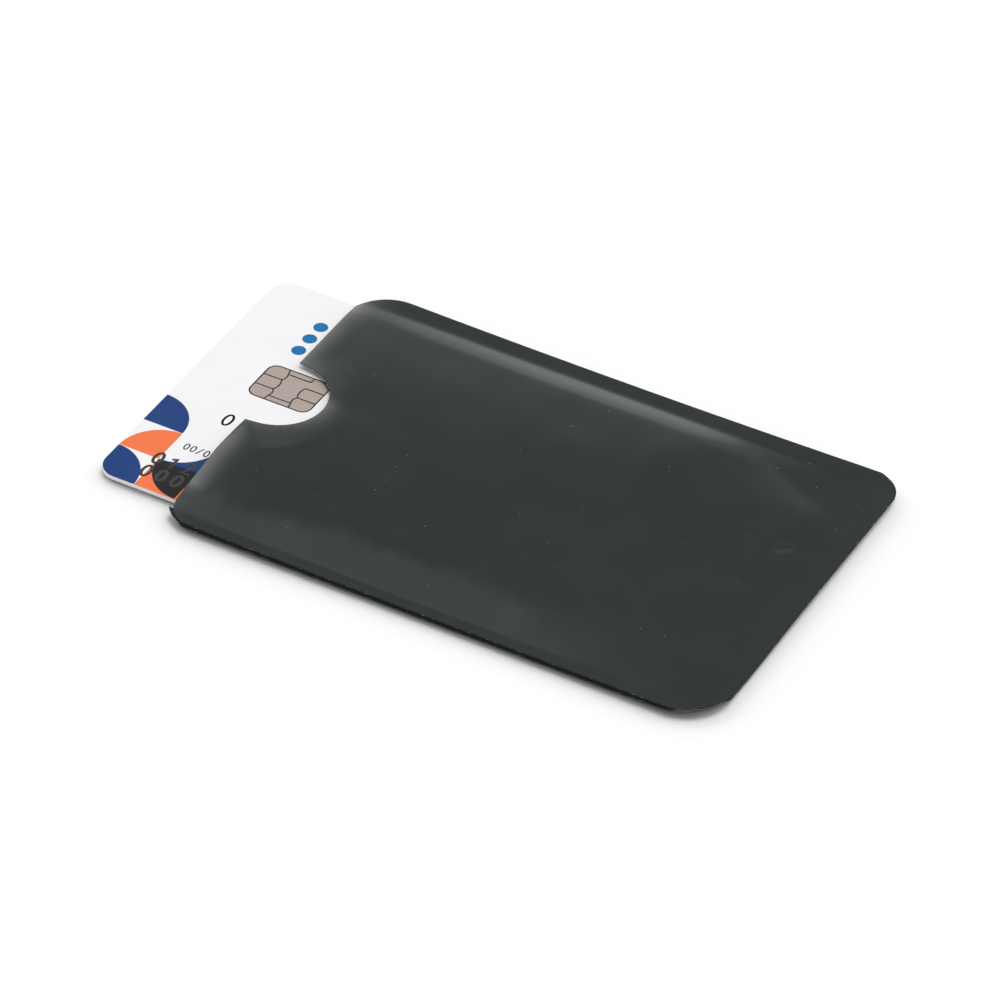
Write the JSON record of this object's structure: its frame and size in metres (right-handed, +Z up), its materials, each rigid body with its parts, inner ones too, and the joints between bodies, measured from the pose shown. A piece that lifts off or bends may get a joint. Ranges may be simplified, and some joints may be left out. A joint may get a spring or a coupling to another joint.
{
  "type": "foil card sleeve with a smart card",
  "caption": "Flat sleeve of foil laminate, open at one end with a thumb notch, that shields a chip card, which slides in and out.",
  "frame": {"origin": "middle of the sleeve's underside, on the surface it rests on", "axes": "+X from the mouth to the closed end, +Y to the far long side, +Z up out of the front panel"},
  "size_m": [0.1056, 0.0626, 0.0022],
  "materials": {
    "film": "dark grey glossy film with faint sealing ribs",
    "foil": "bright rolled foil",
    "liner": "plain white paper",
    "seal": "milky heat-seal coat",
    "card_plastic": "white card plastic",
    "overlay": "white with a printed pattern under a satin laminate",
    "stripe": "satin black-brown magnetic tape",
    "carrier": "glass-epoxy tape",
    "adhesive": "translucent hot-melt tape",
    "silicon": "polished silicon",
    "resin": "black casting resin",
    "contact": "brushed pale plated copper"
  },
  "bodies": {
    "sleeve": {"front_outer_film": "film", "front_foil": "foil", "front_liner": "liner", "back_outer_film": "film", "back_foil": "foil", "back_liner": "liner", "edge_seal": "seal"},
    "card": {"card_core": "card_plastic", "card_front_overlay": "overlay", "card_back_overlay": "overlay", "magnetic_stripe": "stripe", "chip_carrier": "carrier", "chip_adhesive": "adhesive", "chip_die": "silicon", "chip_resin": "resin", "contact_supply": "contact", "contact_reset": "contact", "contact_clock": "contact", "contact_ground": "contact", "contact_program": "contact", "contact_data": "contact", "contact_strip_upper": "contact", "contact_strip_lower": "contact"}
  },
  "joints": [
    {"name": "card_slide", "type": "slide", "parent": "sleeve", "child": "card", "axis": [1, 0, 0], "range_m": [-0.0824, 0.015]}
  ]
}
